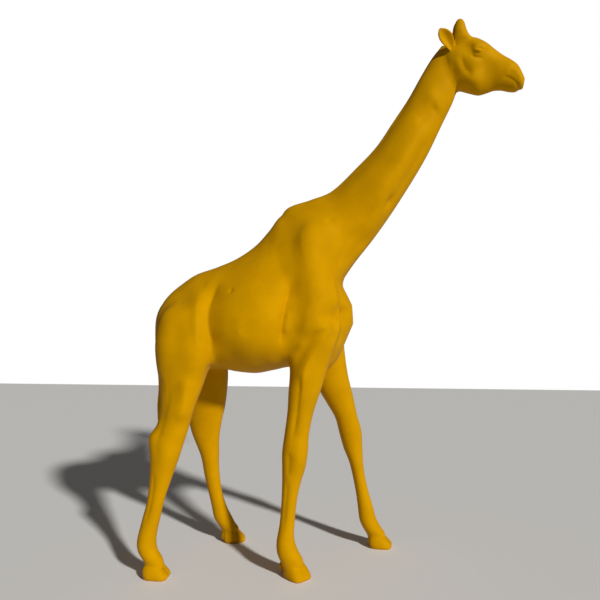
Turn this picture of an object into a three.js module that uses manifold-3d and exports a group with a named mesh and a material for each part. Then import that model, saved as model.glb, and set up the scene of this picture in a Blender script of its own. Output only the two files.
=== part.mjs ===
// A standing giraffe, cast in one piece: trunk, neck, head, four legs on cloven hooves, ears, horn stubs and tail.
// Millimetres, +Z up, +X the way the giraffe faces, +Y its left side. The origin is on the ground, under the middle
// of the overall box. Places and widths are in shares of which CROWN make up the height.
import * as THREE from "three";
import { mergeVertices } from "three/addons/utils/BufferGeometryUtils.js";
import Module from "manifold-3d";

const HEIGHT = 2400; // ground to the tips of the horn stubs
const CROWN = 98.3; // the same height in the shares that the places and widths below are given in
const SOLE_TRIM = 0.15; // what is ground off under the hooves, so that all four stand flat

const RESIN = { color: 0xd69e00, roughness: 0.42, metalness: 0.0 };

const wasm = await Module();
wasm.setup();

// A rib is one cross-section of a form. It runs from a point on the form's top or front line to one on its low or
// rear line, both in side view, and bulges sideways by half its width about the plane y. A positive pinch narrows
// its top and a negative one its bottom, and square above 2 makes it boxier than an ellipse.
function rib(top, low, y, half, pinch = 0, square = 2) {
  return { top, low, y, half, pinch, square };
}

const TRUNK = [
  rib([-26.6, 45.0], [-26.3, 41.0], 0, 1.8, 0.1),
  rib([-25.9, 47.5], [-25.4, 38.4], 0, 4.4, 0.3),
  rib([-24.4, 49.5], [-22.9, 36.6], 0, 6.2, 0.4),
  rib([-22.1, 51.4], [-20.0, 35.6], 0, 7.2, 0.45),
  rib([-19.4, 53.1], [-17.1, 35.4], 0, 7.6, 0.42),
  rib([-15.5, 54.4], [-14.3, 35.4], 0, 7.8, 0.36),
  rib([-11.7, 56.0], [-11.2, 34.9], 0, 8.6, 0.36),
  rib([-8.3, 58.3], [-7.8, 34.7], 0, 8.8, 0.45),
  rib([-5.8, 61.0], [-4.6, 35.3], 0, 8.3, 0.52),
  rib([-3.4, 63.9], [-1.2, 35.8], 0, 7.5, 0.52),
  rib([0.0, 64.2], [2.4, 34.0], 0, 7.0, 0.35),
  rib([3.2, 61.4], [5.4, 34.2], 0, 6.3, 0.15),
  rib([5.8, 56.4], [7.4, 36.0], 0, 5.3, 0.05),
  rib([7.5, 51.6], [8.5, 39.2], 0, 4.1, 0),
  rib([8.8, 48.9], [9.3, 41.7], 0, 2.9, 0),
  rib([9.6, 47.2], [9.8, 43.4], 0, 1.4, 0),
];

const NECK = [
  rib([-4.2, 62.0], [2.2, 44.6], 0, 3.4, 0.4),
  rib([-2.4, 65.2], [5.0, 48.0], 0, 4.7, 0.4),
  rib([2.2, 66.8], [7.4, 51.1], 0, 5.1, 0.36),
  rib([6.1, 68.4], [10.2, 55.1], 0, 4.7, 0.3),
  rib([10.7, 72.7], [13.9, 59.8], 0, 4.0, 0.24),
  rib([14.2, 76.4], [18.0, 65.7], 0, 3.5, 0.18),
  rib([17.2, 80.8], [22.8, 73.5], 0, 3.0, 0.14),
  rib([20.0, 85.0], [26.0, 80.0], 0, 2.7, 0.12),
  rib([22.2, 88.9], [28.1, 84.4], 0, 2.5, 0.1),
  rib([24.2, 92.2], [28.8, 87.0], 0, 2.3, 0.1),
  rib([26.1, 94.6], [29.6, 90.0], 0, 2.0, 0.1),
];

const HEAD = [
  rib([25.2, 93.0], [26.8, 87.8], 0, 1.2, 0),
  rib([26.6, 94.5], [28.0, 86.3], 0, 2.4, 0),
  rib([28.6, 95.1], [29.4, 86.0], 0, 3.0, -0.12),
  rib([30.6, 95.5], [31.0, 85.3], 0, 3.15, -0.2),
  rib([32.3, 95.1], [32.4, 84.8], 0, 3.1, -0.26),
  rib([34.0, 94.0], [33.8, 85.0], 0, 2.8, -0.26),
  rib([35.5, 92.6], [35.0, 85.3], 0, 2.35, -0.18),
  rib([36.9, 91.4], [36.3, 85.2], 0, 2.05, -0.08),
  rib([38.1, 90.5], [37.5, 84.8], 0, 1.95, 0),
  rib([39.2, 89.4], [38.6, 84.6], 0, 1.9, 0.05),
  rib([39.9, 87.9], [39.5, 84.9], 0, 1.6, 0.05),
  rib([40.3, 86.8], [40.0, 85.2], 0, 0.9, 0),
];

const NEAR_FORELEG = [
  rib([2.4, 60.6], [0.2, 60.2], -3.0, 1.0),
  rib([4.8, 56.9], [-0.4, 55.9], -3.4, 2.2),
  rib([7.0, 50.1], [-1.0, 49.4], -4.2, 3.0),
  rib([7.7, 44.1], [-1.4, 44.1], -4.9, 3.2),
  rib([6.8, 40.1], [-1.5, 38.9], -5.3, 2.9),
  rib([5.5, 36.3], [-1.2, 35.4], -5.5, 2.6),
  rib([4.2, 32.1], [-1.4, 31.9], -5.7, 2.3),
  rib([3.0, 28.5], [-1.6, 28.4], -5.8, 2.0),
  rib([2.2, 24.7], [-2.1, 24.6], -5.8, 1.85),
  rib([2.0, 21.6], [-2.5, 21.5], -5.9, 1.85),
  rib([1.6, 19.0], [-2.5, 18.7], -5.9, 1.7),
  rib([0.8, 16.4], [-2.5, 16.3], -5.9, 1.45),
  rib([0.1, 13.3], [-2.6, 13.2], -5.9, 1.3),
  rib([-0.3, 9.5], [-2.9, 9.4], -5.9, 1.3),
  rib([-0.4, 6.8], [-3.4, 6.4], -5.9, 1.5),
  rib([0.2, 4.8], [-3.4, 4.4], -5.9, 1.55),
  rib([1.1, 3.2], [-2.8, 2.8], -5.9, 1.5),
  rib([1.3, 2.0], [-2.2, 1.4], -5.9, 1.3),
];

const FAR_FORELEG = [
  rib([3.4, 60.6], [1.2, 60.2], 3.0, 1.0),
  rib([5.4, 56.9], [0.6, 55.9], 3.4, 2.2),
  rib([7.2, 50.1], [0.0, 49.4], 4.2, 3.0),
  rib([7.8, 44.1], [-0.4, 43.6], 4.9, 3.2),
  rib([7.9, 40.4], [0.4, 38.2], 5.5, 2.9),
  rib([8.2, 37.0], [1.8, 34.6], 6.1, 2.6),
  rib([8.7, 33.6], [2.9, 31.2], 6.7, 2.4),
  rib([9.6, 29.7], [4.5, 28.3], 7.3, 2.1),
  rib([10.4, 25.8], [6.1, 25.4], 7.9, 1.9),
  rib([11.2, 22.8], [6.9, 22.3], 8.4, 1.85),
  rib([11.4, 19.2], [7.7, 19.4], 8.8, 1.75),
  rib([11.6, 15.6], [8.9, 16.2], 9.1, 1.5),
  rib([12.3, 11.7], [9.9, 11.6], 9.4, 1.3),
  rib([13.3, 8.2], [10.4, 8.1], 9.6, 1.35),
  rib([14.0, 5.6], [10.7, 5.5], 9.8, 1.5),
  rib([14.9, 3.9], [11.3, 3.9], 9.9, 1.6),
  rib([15.7, 2.7], [12.1, 2.6], 10.0, 1.5),
  rib([15.8, 1.7], [12.5, 1.4], 10.1, 1.3),
];

const NEAR_HINDLEG = [
  rib([-18.6, 48.8], [-22.4, 48.0], -3.2, 1.4),
  rib([-16.4, 45.9], [-24.6, 45.3], -4.2, 3.4),
  rib([-15.2, 40.9], [-25.5, 40.9], -4.8, 4.2),
  rib([-15.5, 37.2], [-25.2, 36.8], -5.5, 3.9),
  rib([-16.6, 33.0], [-24.4, 32.9], -6.3, 3.1),
  rib([-17.8, 29.4], [-24.1, 29.3], -6.9, 2.5),
  rib([-18.7, 26.1], [-24.5, 26.2], -7.3, 2.1),
  rib([-19.4, 23.7], [-25.8, 23.9], -7.6, 2.0),
  rib([-20.5, 20.1], [-25.5, 20.6], -7.9, 1.9),
  rib([-21.8, 16.4], [-25.5, 16.6], -8.1, 1.5),
  rib([-22.8, 13.3], [-25.9, 12.9], -8.2, 1.35),
  rib([-23.6, 9.9], [-26.7, 9.8], -8.25, 1.4),
  rib([-24.2, 6.8], [-27.4, 6.7], -8.3, 1.55),
  rib([-24.0, 4.8], [-27.3, 4.6], -8.3, 1.6),
  rib([-23.1, 3.3], [-26.4, 3.0], -8.3, 1.55),
  rib([-22.7, 2.0], [-25.9, 1.6], -8.3, 1.35),
];

const FAR_HINDLEG = [
  rib([-18.4, 48.8], [-22.2, 48.0], 3.2, 1.4),
  rib([-15.6, 45.9], [-24.2, 45.3], 4.2, 3.4),
  rib([-14.4, 40.9], [-24.8, 40.9], 4.8, 4.2),
  rib([-14.9, 37.0], [-24.4, 36.6], 5.7, 3.9),
  rib([-15.1, 32.8], [-23.3, 31.5], 6.6, 3.1),
  rib([-15.7, 28.6], [-23.4, 27.7], 7.4, 2.5),
  rib([-16.6, 24.3], [-23.2, 24.2], 8.1, 2.1),
  rib([-17.2, 21.0], [-22.7, 21.6], 8.6, 2.0),
  rib([-17.4, 17.1], [-21.0, 17.1], 9.0, 1.75),
  rib([-17.3, 13.5], [-20.3, 13.2], 9.3, 1.5),
  rib([-16.8, 9.8], [-19.5, 9.7], 9.5, 1.35),
  rib([-15.9, 6.9], [-18.9, 6.9], 9.7, 1.4),
  rib([-15.0, 5.1], [-18.5, 4.9], 9.8, 1.55),
  rib([-14.2, 3.6], [-17.8, 3.7], 9.9, 1.65),
  rib([-13.5, 2.6], [-17.1, 2.6], 10.0, 1.55),
  rib([-13.5, 1.8], [-16.8, 1.4], 10.1, 1.35),
];

const TAIL = [
  rib([-24.2, 49.0], [-24.4, 47.0], 0, 1.3),
  rib([-26.0, 47.6], [-25.2, 45.8], 0, 1.2),
  rib([-27.3, 44.6], [-26.0, 44.2], 0, 0.95),
  rib([-27.4, 40.0], [-26.3, 40.0], 0, 0.75),
  rib([-27.0, 35.0], [-26.0, 35.0], 0, 0.65),
  rib([-26.8, 31.5], [-25.9, 31.5], 0, 0.6),
  rib([-27.0, 28.5], [-25.5, 28.5], 0, 0.95),
  rib([-26.8, 25.0], [-25.3, 25.0], 0, 1.0),
  rib([-26.2, 22.4], [-25.7, 22.4], 0, 0.3),
];

const HORN = [
  rib([31.6, 92.2], [28.0, 92.4], -1.1, 1.0),
  rib([31.7, 94.3], [27.8, 94.7], -1.4, 1.35),
  rib([30.9, 95.7], [28.1, 96.0], -1.55, 1.25),
  rib([30.5, 96.7], [28.3, 97.0], -1.65, 1.05),
  rib([30.3, 97.5], [28.6, 97.6], -1.7, 0.9),
  rib([30.0, 98.1], [28.9, 98.1], -1.7, 0.65),
  rib([29.6, 98.3], [29.3, 98.3], -1.7, 0.3),
];

// A claw is half of a cloven hoof, heel to toe, in the foot's own frame: x along the foot, z up from the ground.
const CLAW = [
  rib([-1.85, 1.9], [-1.85, 0.9], 0, 0.4, 0, 2.2),
  rib([-1.55, 2.5], [-1.5, 0.15], 0, 0.8, 0.1, 2.4),
  rib([-0.7, 3.0], [-0.7, 0], 0, 1.0, 0.15, 2.6),
  rib([0.3, 2.9], [0.3, 0], 0, 1.05, 0.2, 2.8),
  rib([1.3, 2.1], [1.3, 0], 0, 1.0, 0.25, 2.8),
  rib([2.1, 1.4], [2.0, 0.05], 0, 0.85, 0.25, 2.6),
  rib([2.5, 1.0], [2.4, 0.4], 0, 0.45, 0.2, 2.2),
];
const CLAW_SPREAD = 0.92; // each claw's middle, sideways from the foot's
const CLAW_TURN = 0.07; // the claws open forwards a little, in radians

const FEET = [
  { at: [-0.1, -5.7], turn: -0.75 },
  { at: [14.3, 10.1], turn: -0.06 },
  { at: [-24.4, -8.2], turn: 0 },
  { at: [-15.0, 10.2], turn: 0.3 },
];

// The curve through the ribs, one for the top line, one for the low line and one for the widths and sections.
function curves(ribs) {
  const through = (pick) => new THREE.CatmullRomCurve3(ribs.map(pick), false, "catmullrom", 0.5);
  return {
    top: through((r) => new THREE.Vector3(r.top[0], r.y, r.top[1])),
    low: through((r) => new THREE.Vector3(r.low[0], r.y, r.low[1])),
    half: through((r) => new THREE.Vector3(r.half, r.pinch, r.square)),
  };
}

// A closed form carried through its ribs, with rings of the given number of sides and flat ends.
function loft(ribs, ringsPerRib, sides) {
  const { top, low, half } = curves(ribs);
  const rings = (ribs.length - 1) * ringsPerRib;
  const positions = [];
  const index = [];
  const power = (v, n) => Math.sign(v) * Math.abs(v) ** (2 / n);
  for (let i = 0; i <= rings; i++) {
    const t = i / rings;
    const a = top.getPoint(t);
    const b = low.getPoint(t);
    const { x: halfWidth, y: pinch, z: square } = half.getPoint(t);
    const middle = a.clone().add(b).multiplyScalar(0.5);
    const reach = a.clone().sub(b).multiplyScalar(0.5);
    for (let k = 0; k < sides; k++) {
      const angle = (k / sides) * 2 * Math.PI;
      const along = power(Math.cos(angle), square);
      const across = power(Math.sin(angle), square) * (1 - pinch * along) * Math.max(halfWidth, 0.05);
      const p = middle.clone().addScaledVector(reach, along);
      positions.push(p.x, p.y + across, p.z);
    }
  }
  for (let i = 0; i < rings; i++) {
    for (let k = 0; k < sides; k++) {
      const a = i * sides + k;
      const b = i * sides + ((k + 1) % sides);
      index.push(a, b, a + sides, b, b + sides, a + sides);
    }
  }
  for (const [ring, turned] of [[0, true], [rings, false]]) {
    const centre = positions.length / 3;
    const sum = new THREE.Vector3();
    for (let k = 0; k < sides; k++) {
      sum.add(new THREE.Vector3().fromArray(positions, (ring * sides + k) * 3));
    }
    positions.push(...sum.multiplyScalar(1 / sides).toArray());
    for (let k = 0; k < sides; k++) {
      const a = ring * sides + k;
      const b = ring * sides + ((k + 1) % sides);
      index.push(...(turned ? [b, a, centre] : [a, b, centre]));
    }
  }
  const geometry = new THREE.BufferGeometry();
  geometry.setAttribute("position", new THREE.Float32BufferAttribute(positions, 3));
  geometry.setIndex(index);
  return geometry;
}

// A closed geometry as a solid that can be joined and cut. One that came out inside out is turned round.
function solidOf(geometry) {
  const bare = geometry.clone();
  bare.deleteAttribute("normal");
  bare.deleteAttribute("uv");
  const merged = mergeVertices(bare, 1e-4);
  const triVerts = new Uint32Array(merged.index.array);
  const make = () =>
    new wasm.Manifold(
      new wasm.Mesh({ numProp: 3, vertProperties: merged.attributes.position.array, triVerts }),
    );
  const solid = make();
  if (solid.volume() > 0) return solid;
  for (let i = 0; i < triVerts.length; i += 3) {
    [triVerts[i + 1], triVerts[i + 2]] = [triVerts[i + 2], triVerts[i + 1]];
  }
  return make();
}

function mirrored(geometry) {
  return geometry.clone().applyMatrix4(new THREE.Matrix4().makeScale(1, -1, 1));
}

// One ear: a leaf from its root to its tip, hollowed on the side that faces out and forwards.
const POLL = 27; // where the head turns on the neck, along x
const HEAD_TURN = 0.21; // in radians
const EAR = {
  root: new THREE.Vector3(28.5, -1.9, 91.6),
  tip: new THREE.Vector3(26.6, -4.3, 96.0),
  facing: new THREE.Vector3(0.25, -0.9, -0.1),
  halfWidth: 1.1,
  thickness: 0.45, // of the width
};

// A leaf turned about its length and flattened, fullest above its middle, so the tip is blunt and the root narrow.
function leaf(halfWidth, thickness, length) {
  const profile = [];
  for (let i = 0; i <= 9; i++) {
    const t = i / 9;
    const fullness = Math.sin(Math.PI * t ** 1.7) ** 0.75;
    profile.push(new THREE.Vector2(i % 9 ? halfWidth * fullness : 0, length * t));
  }
  return new THREE.LatheGeometry(profile, 12).rotateX(Math.PI / 2).scale(1, thickness, 1);
}

function ear() {
  const { root, tip, facing, halfWidth, thickness } = EAR;
  const along = tip.clone().sub(root);
  const length = along.length();
  along.normalize();
  const out = facing.clone().addScaledVector(along, -facing.dot(along)).normalize();
  const across = new THREE.Vector3().crossVectors(out, along);
  const frame = new THREE.Matrix4().makeBasis(across, out, along).setPosition(root);
  const shell = leaf(halfWidth, thickness, length);
  const hollow = leaf(halfWidth * 0.72, thickness, length * 0.82)
    .translate(0, halfWidth * thickness * 0.72, length * 0.08);
  return solidOf(shell.applyMatrix4(frame)).subtract(solidOf(hollow.applyMatrix4(frame)));
}

function eye() {
  return new THREE.SphereGeometry(1, 12, 8).scale(1.0, 0.55, 0.6).translate(32.6, -2.75, 91.6);
}

function foot({ at, turn }) {
  return [-1, 1].map((side) =>
    loft(CLAW, 1, 10)
      .rotateZ(-side * CLAW_TURN)
      .translate(0, side * CLAW_SPREAD, 0)
      .rotateZ(turn)
      .translate(at[0], at[1], -SOLE_TRIM),
  );
}

// The head with its horns, eyes and ears, turned on the top of the neck a little towards the right.
function headParts() {
  const horn = loft(HORN, 2, 8);
  const parts = [loft(HEAD, 2, 18), horn, mirrored(horn), eye(), mirrored(eye())].map(solidOf);
  const rightEar = ear();
  parts.push(rightEar, rightEar.mirror([0, 1, 0]));
  const turn = new THREE.Matrix4()
    .makeTranslation(POLL, 0, 0)
    .multiply(new THREE.Matrix4().makeRotationZ(-HEAD_TURN))
    .multiply(new THREE.Matrix4().makeTranslation(-POLL, 0, 0));
  return parts.map((part) => part.transform(turn.elements));
}

function giraffe() {
  const forms = [
    loft(TRUNK, 2, 24),
    loft(NECK, 2, 20),
    loft(NEAR_FORELEG, 2, 12),
    loft(FAR_FORELEG, 2, 12),
    loft(NEAR_HINDLEG, 2, 12),
    loft(FAR_HINDLEG, 2, 12),
    loft(TAIL, 2, 8),
    ...FEET.flatMap(foot),
  ].map(solidOf);
  let body = forms[0];
  for (const form of [...forms.slice(1), ...headParts()]) body = body.add(form);
  const ground = new THREE.BoxGeometry(200, 200, 20).translate(0, 0, -10);
  return body.subtract(solidOf(ground));
}

function geometryOf(solid) {
  const { vertProperties, triVerts } = solid.getMesh();
  const geometry = new THREE.BufferGeometry();
  geometry.setAttribute("position", new THREE.BufferAttribute(vertProperties, 3));
  geometry.setIndex(new THREE.BufferAttribute(triVerts, 1));
  return geometry;
}

// The cast is scaled from per cent to millimetres and set over the middle of its own box.
const cast = geometryOf(giraffe()).scale(HEIGHT / CROWN, HEIGHT / CROWN, HEIGHT / CROWN);
cast.computeBoundingBox();
const { min, max } = cast.boundingBox;
cast.translate(-(min.x + max.x) / 2, -(min.y + max.y) / 2, -min.z);
cast.computeVertexNormals();

const giraffeMesh = new THREE.Mesh(cast, new THREE.MeshStandardMaterial(RESIN));
giraffeMesh.name = "giraffe";

const group = new THREE.Group();
group.add(giraffeMesh);
export default group;
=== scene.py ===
# A large walking giraffe cast in resin, dressed for the picture.
# The whole animal is one casting, so it is one mesh: lofted forms are fused, faired and then carved.
import math

import bpy
import numpy as np
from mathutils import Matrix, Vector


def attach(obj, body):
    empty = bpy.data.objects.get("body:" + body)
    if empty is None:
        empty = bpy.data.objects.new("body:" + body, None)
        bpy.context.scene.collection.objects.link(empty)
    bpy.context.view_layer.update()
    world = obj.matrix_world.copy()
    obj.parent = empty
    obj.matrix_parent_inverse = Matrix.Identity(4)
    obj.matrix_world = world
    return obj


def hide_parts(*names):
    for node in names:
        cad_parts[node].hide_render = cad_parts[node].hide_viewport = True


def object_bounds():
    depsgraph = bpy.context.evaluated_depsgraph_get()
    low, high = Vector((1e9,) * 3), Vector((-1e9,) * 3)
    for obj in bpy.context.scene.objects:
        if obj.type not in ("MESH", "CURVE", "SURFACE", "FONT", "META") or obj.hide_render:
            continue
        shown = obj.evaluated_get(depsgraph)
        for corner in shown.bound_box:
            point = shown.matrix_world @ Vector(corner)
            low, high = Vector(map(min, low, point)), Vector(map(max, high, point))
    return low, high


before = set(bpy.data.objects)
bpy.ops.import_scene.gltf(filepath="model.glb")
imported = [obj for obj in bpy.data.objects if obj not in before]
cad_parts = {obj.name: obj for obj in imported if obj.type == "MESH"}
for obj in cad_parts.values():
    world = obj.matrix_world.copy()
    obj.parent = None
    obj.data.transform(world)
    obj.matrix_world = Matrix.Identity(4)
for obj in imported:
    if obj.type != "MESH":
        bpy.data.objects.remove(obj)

cadBox = [list(map(float, corner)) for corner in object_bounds()]

figure = {
    "height": 2.4,                      # m, ground to the tips of the horn stubs
    "crown": 98.3,                      # the same height in the shares that the forms below are given in
    "middle": (0.15431, 0.02712, 0.0),  # m, the middle of the figure's box, seen from the shares' zero
    "soleTrim": 0.15,                   # shares ground off under the hooves
    "voxel": 0.0074,                    # m, the grid that the forms are fused on
    "triangles": 190000,                # what the finished skin is thinned to, flat parts first
}
share = figure["height"] / figure["crown"]

# Each rib is one cross-section: top x, top z, low x, low z, its plane y, half its width, how much narrower its
# top is than its bottom, and how boxy it is (2 is an ellipse).
trunk = {"rings": 150, "sides": 120, "ribs": [
    (-26.6, 45.0, -26.3, 41.0, 0, 1.8, 0.10, 2),
    (-25.9, 47.5, -25.4, 38.4, 0, 4.4, 0.30, 2),
    (-24.4, 49.5, -22.9, 36.6, 0, 6.2, 0.40, 2),
    (-22.1, 51.4, -20.0, 35.6, 0, 7.2, 0.45, 2),
    (-19.4, 53.1, -17.1, 35.4, 0, 7.6, 0.42, 2),
    (-15.5, 54.4, -14.3, 35.4, 0, 7.8, 0.36, 2),
    (-11.7, 56.0, -11.2, 34.9, 0, 8.6, 0.36, 2),
    (-8.3, 58.3, -7.8, 34.7, 0, 8.8, 0.45, 2),
    (-5.8, 61.0, -4.6, 35.3, 0, 8.3, 0.52, 2),
    (-3.4, 63.9, -1.2, 35.8, 0, 7.5, 0.52, 2),
    (0.0, 64.2, 2.4, 34.0, 0, 7.0, 0.35, 2),
    (3.2, 61.4, 5.2, 35.4, 0, 6.3, 0.15, 2),
    (5.8, 56.4, 7.1, 37.6, 0, 5.3, 0.05, 2),
    (7.5, 51.6, 8.3, 40.3, 0, 4.1, 0, 2),
    (8.8, 48.9, 9.2, 42.4, 0, 2.9, 0, 2),
    (9.6, 47.2, 9.8, 43.8, 0, 1.4, 0, 2),
]}
neck = {"rings": 150, "sides": 80, "ribs": [
    (-4.2, 62.0, 2.2, 44.6, 0, 3.4, 0.40, 2),
    (-2.4, 65.2, 5.0, 48.0, 0, 4.7, 0.40, 2),
    (2.2, 66.8, 7.4, 51.1, 0, 5.1, 0.36, 2),
    (6.1, 68.4, 10.2, 55.1, 0, 4.7, 0.30, 2),
    (10.7, 72.7, 13.9, 59.8, 0, 4.0, 0.24, 2),
    (14.2, 76.4, 18.0, 65.7, 0, 3.5, 0.18, 2),
    (17.2, 80.8, 22.8, 73.5, 0, 3.0, 0.14, 2),
    (20.0, 85.0, 26.0, 80.0, 0, 2.7, 0.12, 2),
    (22.2, 88.9, 28.1, 84.4, 0, 2.5, 0.10, 2),
    (24.2, 92.2, 28.8, 87.0, 0, 2.3, 0.10, 2),
    (26.1, 94.6, 29.6, 90.0, 0, 2.0, 0.10, 2),
]}
head = {"rings": 90, "sides": 72, "ribs": [
    (25.2, 93.0, 26.8, 87.8, 0, 1.2, 0, 2),
    (26.6, 94.5, 28.0, 86.3, 0, 2.4, 0, 2),
    (28.6, 95.1, 29.4, 86.0, 0, 3.0, -0.12, 2),
    (30.6, 95.5, 31.0, 85.3, 0, 3.15, -0.20, 2),
    (32.3, 95.1, 32.4, 84.8, 0, 3.1, -0.26, 2),
    (34.0, 94.0, 33.8, 85.0, 0, 2.8, -0.26, 2),
    (35.5, 92.6, 35.0, 85.3, 0, 2.35, -0.18, 2),
    (36.9, 91.4, 36.3, 85.2, 0, 2.05, -0.08, 2),
    (38.1, 90.5, 37.5, 84.8, 0, 1.95, 0, 2),
    (39.2, 89.4, 38.6, 84.6, 0, 1.9, 0.05, 2),
    (39.9, 87.9, 39.5, 84.9, 0, 1.6, 0.05, 2),
    (40.3, 86.8, 40.0, 85.2, 0, 0.9, 0, 2),
]}
headTurn = {"poll": 27.0, "angle": 0.21}  # the head is turned this much to its right, about the poll

rightForeleg = {"rings": 150, "sides": 48, "ribs": [
    (2.4, 60.6, 0.2, 60.2, -3.0, 1.0, 0, 2),
    (4.8, 56.9, -0.4, 55.9, -3.4, 2.2, 0, 2),
    (7.0, 50.1, -1.0, 49.4, -4.2, 3.0, 0, 2),
    (7.7, 44.1, -1.4, 44.1, -4.9, 3.2, 0, 2),
    (6.8, 40.1, -1.5, 38.9, -5.3, 2.9, 0, 2),
    (5.5, 36.3, -1.2, 35.4, -5.5, 2.6, 0, 2),
    (4.2, 32.1, -1.4, 31.9, -5.7, 2.3, 0, 2),
    (3.0, 28.5, -1.6, 28.4, -5.8, 2.0, 0, 2),
    (2.2, 24.7, -2.1, 24.6, -5.8, 1.85, 0, 2),
    (2.0, 21.6, -2.5, 21.5, -5.9, 1.85, 0, 2),
    (1.6, 19.0, -2.5, 18.7, -5.9, 1.7, 0, 2),
    (0.8, 16.4, -2.5, 16.3, -5.9, 1.45, 0, 2),
    (0.1, 13.3, -2.6, 13.2, -5.9, 1.3, 0, 2),
    (-0.3, 9.5, -2.9, 9.4, -5.9, 1.3, 0, 2),
    (-0.4, 6.8, -3.4, 6.4, -5.9, 1.5, 0, 2),
    (0.2, 4.8, -3.4, 4.4, -5.9, 1.55, 0, 2),
    (1.1, 3.2, -2.8, 2.8, -5.9, 1.5, 0, 2),
    (1.3, 2.0, -2.2, 1.4, -5.9, 1.3, 0, 2),
]}
leftForeleg = {"rings": 150, "sides": 48, "ribs": [
    (3.4, 60.6, 1.2, 60.2, 3.0, 1.0, 0, 2),
    (5.4, 56.9, 0.6, 55.9, 3.4, 2.2, 0, 2),
    (7.2, 50.1, 0.0, 49.4, 4.2, 3.0, 0, 2),
    (7.8, 44.1, -0.4, 43.6, 4.9, 3.2, 0, 2),
    (7.9, 40.4, 0.4, 38.2, 5.5, 2.9, 0, 2),
    (8.2, 37.0, 1.8, 34.6, 6.1, 2.6, 0, 2),
    (8.7, 33.6, 2.9, 31.2, 6.7, 2.4, 0, 2),
    (9.6, 29.7, 4.5, 28.3, 7.3, 2.1, 0, 2),
    (10.4, 25.8, 6.1, 25.4, 7.9, 1.9, 0, 2),
    (11.2, 22.8, 6.9, 22.3, 8.4, 1.85, 0, 2),
    (11.4, 19.2, 7.7, 19.4, 8.8, 1.75, 0, 2),
    (11.6, 15.6, 8.9, 16.2, 9.1, 1.5, 0, 2),
    (12.3, 11.7, 9.9, 11.6, 9.4, 1.3, 0, 2),
    (13.3, 8.2, 10.4, 8.1, 9.6, 1.35, 0, 2),
    (14.0, 5.6, 10.7, 5.5, 9.8, 1.5, 0, 2),
    (14.9, 3.9, 11.3, 3.9, 9.9, 1.6, 0, 2),
    (15.7, 2.7, 12.1, 2.6, 10.0, 1.5, 0, 2),
    (15.8, 1.7, 12.5, 1.4, 10.1, 1.3, 0, 2),
]}
rightHindleg = {"rings": 150, "sides": 52, "ribs": [
    (-18.6, 48.8, -22.4, 48.0, -3.2, 1.4, 0, 2),
    (-16.4, 45.9, -24.6, 45.3, -4.2, 3.4, 0, 2),
    (-15.2, 40.9, -25.5, 40.9, -4.8, 4.2, 0, 2),
    (-15.5, 37.2, -25.2, 36.8, -5.5, 3.9, 0, 2),
    (-16.6, 33.0, -24.4, 32.9, -6.3, 3.1, 0, 2),
    (-17.8, 29.4, -24.1, 29.3, -6.9, 2.5, 0, 2),
    (-18.7, 26.1, -24.5, 26.2, -7.3, 2.1, 0, 2),
    (-19.4, 23.7, -25.8, 23.9, -7.6, 2.0, 0, 2),
    (-20.5, 20.1, -25.5, 20.6, -7.9, 1.9, 0, 2),
    (-21.8, 16.4, -25.5, 16.6, -8.1, 1.5, 0, 2),
    (-22.8, 13.3, -25.9, 12.9, -8.2, 1.35, 0, 2),
    (-23.6, 9.9, -26.7, 9.8, -8.25, 1.4, 0, 2),
    (-24.2, 6.8, -27.4, 6.7, -8.3, 1.55, 0, 2),
    (-24.0, 4.8, -27.3, 4.6, -8.3, 1.6, 0, 2),
    (-23.1, 3.3, -26.4, 3.0, -8.3, 1.55, 0, 2),
    (-22.7, 2.0, -25.9, 1.6, -8.3, 1.35, 0, 2),
]}
leftHindleg = {"rings": 150, "sides": 52, "ribs": [
    (-18.4, 48.8, -22.2, 48.0, 3.2, 1.4, 0, 2),
    (-15.6, 45.9, -24.2, 45.3, 4.2, 3.4, 0, 2),
    (-14.4, 40.9, -24.8, 40.9, 4.8, 4.2, 0, 2),
    (-14.9, 37.0, -24.4, 36.6, 5.7, 3.9, 0, 2),
    (-15.1, 32.8, -23.3, 31.5, 6.6, 3.1, 0, 2),
    (-15.7, 28.6, -23.4, 27.7, 7.4, 2.5, 0, 2),
    (-16.6, 24.3, -23.2, 24.2, 8.1, 2.1, 0, 2),
    (-17.2, 21.0, -22.7, 21.6, 8.6, 2.0, 0, 2),
    (-17.4, 17.1, -21.0, 17.1, 9.0, 1.75, 0, 2),
    (-17.3, 13.5, -20.3, 13.2, 9.3, 1.5, 0, 2),
    (-16.8, 9.8, -19.5, 9.7, 9.5, 1.35, 0, 2),
    (-15.9, 6.9, -18.9, 6.9, 9.7, 1.4, 0, 2),
    (-15.0, 5.1, -18.5, 4.9, 9.8, 1.55, 0, 2),
    (-14.2, 3.6, -17.8, 3.7, 9.9, 1.65, 0, 2),
    (-13.5, 2.6, -17.1, 2.6, 10.0, 1.55, 0, 2),
    (-13.5, 1.8, -16.8, 1.4, 10.1, 1.35, 0, 2),
]}
tail = {"rings": 90, "sides": 28, "ribs": [
    (-24.2, 49.0, -24.4, 47.0, 0, 1.3, 0, 2),
    (-26.0, 47.6, -25.2, 45.8, 0, 1.2, 0, 2),
    (-27.3, 44.6, -26.0, 44.2, 0, 0.95, 0, 2),
    (-27.4, 40.0, -26.3, 40.0, 0, 0.75, 0, 2),
    (-27.0, 35.0, -26.0, 35.0, 0, 0.65, 0, 2),
    (-26.8, 31.5, -25.9, 31.5, 0, 0.6, 0, 2),
    (-27.0, 28.5, -25.5, 28.5, 0, 0.95, 0, 2),
    (-26.8, 25.0, -25.3, 25.0, 0, 1.0, 0, 2),
    (-26.2, 22.4, -25.7, 22.4, 0, 0.3, 0, 2),
]}
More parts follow.
